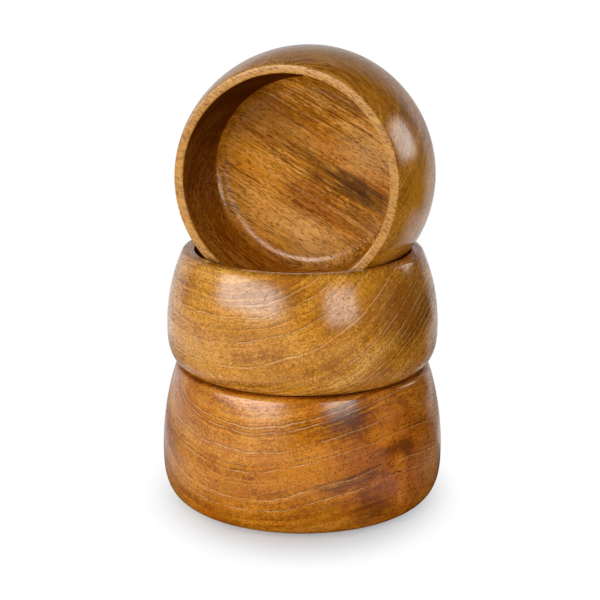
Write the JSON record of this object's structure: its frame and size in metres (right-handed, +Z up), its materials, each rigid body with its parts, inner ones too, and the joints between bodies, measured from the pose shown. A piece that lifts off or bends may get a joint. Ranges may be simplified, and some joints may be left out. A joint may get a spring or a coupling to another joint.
{
  "type": "stack of turned mango wood bowls",
  "caption": "Stack of round turned mango wood bowls with full bellies and flat rims, the top bowl lying on its side in the mouth of the one below",
  "frame": {"origin": "middle of the flat base of the lower bowl, on the ground", "axes": "+Z up along the axis of the two upright bowls, -Y towards the front as pictured, +X to the right"},
  "size_m": [0.159, 0.159, 0.2539],
  "materials": {
    "lower_wood": "golden brown mango wood, curved growth lines and dark patches, semi-gloss lacquer",
    "middle_wood": "golden brown mango wood, dotted pores and pale growth arcs, semi-gloss lacquer",
    "top_wood": "golden brown mango wood, straight grain across the floor, darker wall, semi-gloss lacquer"
  },
  "bodies": {
    "lower": {"lower_bowl": "lower_wood"},
    "middle": {"middle_bowl": "middle_wood"},
    "top": {"top_bowl": "top_wood"}
  },
  "joints": [
    {"name": "middle_lift", "type": "slide", "parent": "lower", "child": "middle", "axis": [0, 0, 1], "range_m": [0, 0.12]},
    {"name": "top_lift", "type": "slide", "parent": "middle", "child": "top", "axis": [0, 0, 1], "range_m": [0, 0.12]}
  ]
}
